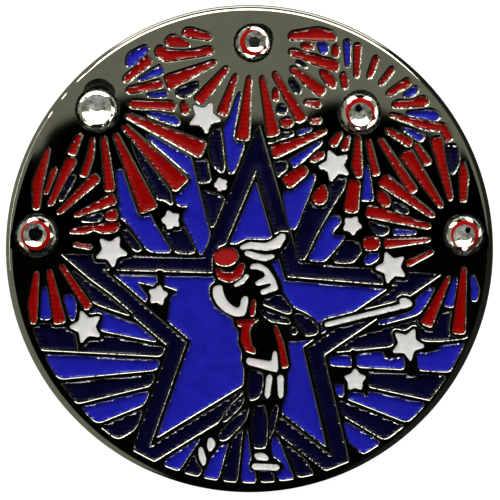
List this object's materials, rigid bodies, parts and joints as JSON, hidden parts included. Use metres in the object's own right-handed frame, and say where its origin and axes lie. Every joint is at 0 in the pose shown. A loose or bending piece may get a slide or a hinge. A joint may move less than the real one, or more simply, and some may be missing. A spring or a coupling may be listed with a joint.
{
  "type": "golf ball marker",
  "caption": "Round struck-metal golf ball marker: sunk cells of red, white, blue and navy enamel with a golfer in front of a large star, and clear faceted stones set near the rim.",
  "frame": {"origin": "centre of the back face, where the marker lies on the green or the clip", "axes": "+Z out of the decorated face, +Y towards the top of the picture, +X to its right"},
  "size_m": [0.0254, 0.0254, 0.0023],
  "materials": {
    "black_nickel": "mirror-bright black nickel plating over struck metal",
    "red_enamel": "glossy soft enamel",
    "blue_enamel": "glossy soft enamel",
    "navy_enamel": "glossy soft enamel",
    "white_enamel": "glossy soft enamel",
    "crystal": "clear, cut facets",
    "clear_glue": "clear, glossy"
  },
  "bodies": {
    "root": {"crystal_left": "crystal", "crystal_right": "crystal", "crystal_top": "crystal", "crystal_upper_left": "crystal", "crystal_upper_right": "crystal", "enamel_belt": "white_enamel", "enamel_big_star_1": "blue_enamel", "enamel_big_star_2": "blue_enamel", "enamel_big_star_3": "blue_enamel", "enamel_big_star_4": "blue_enamel", "enamel_big_star_5": "blue_enamel", "enamel_border_1": "navy_enamel", "enamel_border_2": "navy_enamel", "enamel_border_3": "navy_enamel", "enamel_border_4": "navy_enamel", "enamel_cap_brim": "red_enamel", "enamel_cap_crown": "red_enamel", "enamel_club": "white_enamel", "enamel_hair": "white_enamel", "enamel_ray_left_1": "red_enamel", "enamel_ray_left_2": "red_enamel", "enamel_ray_left_3": "red_enamel", "enamel_ray_left_4": "red_enamel", "enamel_ray_left_5": "red_enamel", "enamel_ray_right_1": "red_enamel", "enamel_ray_right_2": "red_enamel", "enamel_ray_right_3": "red_enamel", "enamel_ray_right_4": "red_enamel", "enamel_ray_right_5": "red_enamel", "enamel_ray_right_6": "red_enamel", "enamel_ray_right_7": "red_enamel", "enamel_ray_top_1": "red_enamel", "enamel_ray_top_2": "red_enamel", "enamel_ray_top_3": "red_enamel", "enamel_ray_top_4": "red_enamel", "enamel_sleeve_left": "white_enamel", "enamel_sleeve_right": "white_enamel", "enamel_star_lower_left": "white_enamel", "enamel_star_lower_right": "white_enamel", "enamel_star_middle_left": "white_enamel", "enamel_star_middle_right": "white_enamel", "enamel_star_small_left": "white_enamel", "enamel_star_small_lower": "white_enamel", "enamel_star_small_middle": "white_enamel", "enamel_star_small_right": "white_enamel", "enamel_star_small_upper": "white_enamel", "enamel_star_upper_left": "white_enamel", "enamel_star_upper_right": "white_enamel", "enamel_waistcoat": "red_enamel", "glue_left": "clear_glue", "glue_right": "clear_glue", "glue_top": "clear_glue", "glue_upper_left": "clear_glue", "glue_upper_right": "clear_glue", "seat_enamel_left": "red_enamel", "seat_enamel_right": "red_enamel", "seat_enamel_top": "red_enamel", "seat_enamel_upper_left": "red_enamel", "seat_enamel_upper_right": "red_enamel", "struck_body": "black_nickel"}
  },
  "joints": []
}
